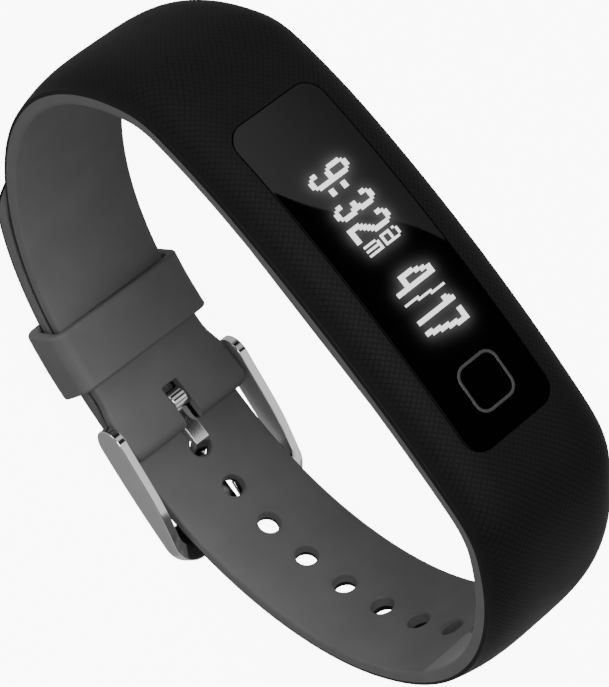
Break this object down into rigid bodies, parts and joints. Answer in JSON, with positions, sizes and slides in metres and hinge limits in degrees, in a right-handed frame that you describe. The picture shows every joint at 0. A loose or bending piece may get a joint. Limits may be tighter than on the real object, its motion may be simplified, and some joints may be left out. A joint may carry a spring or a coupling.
{
  "type": "fitness tracker band",
  "caption": "Wrist activity tracker: knurled black band with grey lining, buckle and keeper, and a removable pod under a long curved display lens.",
  "frame": {"origin": "centre of the wrist opening, on its axis, midway across the band's width", "axes": "+Z out of the display, +X along the display towards the touch key, +Y along the wrist"},
  "size_m": [0.0699, 0.0184, 0.0595],
  "materials": {
    "black_silicone": "matt moulded silicone with a fine diamond knurl",
    "grey_silicone": "soft matt silicone",
    "polished_steel": "polished edges, brushed sides",
    "spring_steel": "drawn wire",
    "cover_lens": "hard-coated smoked gloss",
    "key_print": "printed line under hard coat",
    "black_tape": "die-cut adhesive foam",
    "copper": "bare copper foil",
    "case_plastic": "fine spark-eroded black",
    "panel_glass": "display glass",
    "flex_film": "amber polyimide film",
    "circuit_board": "solder mask",
    "chip_resin": "moulded resin",
    "small_part_ceramic": "sintered",
    "battery_foil": "laminated pouch foil",
    "foam": "closed-cell foam",
    "motor_can": "drawn can",
    "seal_rubber": "moulded seal",
    "screw_steel": "passivated",
    "gold_plate": "gold plated"
  },
  "bodies": {
    "band": {"band_outer": "black_silicone", "band_lining": "grey_silicone", "spring_bar_tube": "polished_steel", "spring_bar_spring": "spring_steel"},
    "pod": {"display_lens": "cover_lens", "touch_key_outline": "key_print", "lens_tape": "black_tape", "touch_electrode": "copper", "pod_top_case": "case_plastic", "oled_panel": "panel_glass", "display_flex": "flex_film", "main_board": "circuit_board", "processor_chip": "chip_resin", "radio_chip": "chip_resin", "motion_sensor": "chip_resin", "memory_chip": "chip_resin", "board_small_parts": "small_part_ceramic", "battery": "battery_foil", "battery_pad": "foam", "vibration_motor": "motor_can", "case_seal": "seal_rubber", "pod_back_cover": "case_plastic", "case_screws": "screw_steel", "charging_contacts": "gold_plate"},
    "keeper": {"keeper_loop": "grey_silicone"},
    "buckle": {"buckle_frame": "polished_steel"},
    "tongue": {"buckle_tongue": "polished_steel"},
    "bar_tip_near": {"spring_bar_tip_near": "polished_steel"},
    "bar_tip_far": {"spring_bar_tip_far": "polished_steel"}
  },
  "joints": [
    {"name": "pod_release", "type": "slide", "parent": "band", "child": "pod", "axis": [0, 0, -1], "range_m": [0, 0.014]},
    {"name": "keeper_slide", "type": "hinge", "parent": "band", "child": "keeper", "pos_m": [-0.00502, 0, 0.00451], "axis": [0, 1, 0], "range_deg": [0, 26]},
    {"name": "buckle_play", "type": "hinge", "parent": "band", "child": "buckle", "pos_m": [-0.00369, 0, -0.02429], "axis": [0, 1, 0], "range_deg": [0, 1.5]},
    {"name": "tongue_play", "type": "hinge", "parent": "band", "child": "tongue", "pos_m": [-0.00369, 0, -0.02429], "axis": [0, 1, 0], "range_deg": [0, 1.5]},
    {"name": "near_tip_press", "type": "slide", "parent": "band", "child": "bar_tip_near", "axis": [0, 1, 0], "range_m": [0, 0.0011], "stiffness_N_per_m": 300, "springref_m": -0.002, "deforming": ["spring_bar_spring"]},
    {"name": "far_tip_press", "type": "slide", "parent": "band", "child": "bar_tip_far", "axis": [0, -1, 0], "range_m": [0, 0.0011], "stiffness_N_per_m": 300, "springref_m": -0.002, "deforming": ["spring_bar_spring"]}
  ],
  "couplings": [
    {"joint": "tongue_play", "follows": "buckle_play", "ratio": 1}
  ]
}
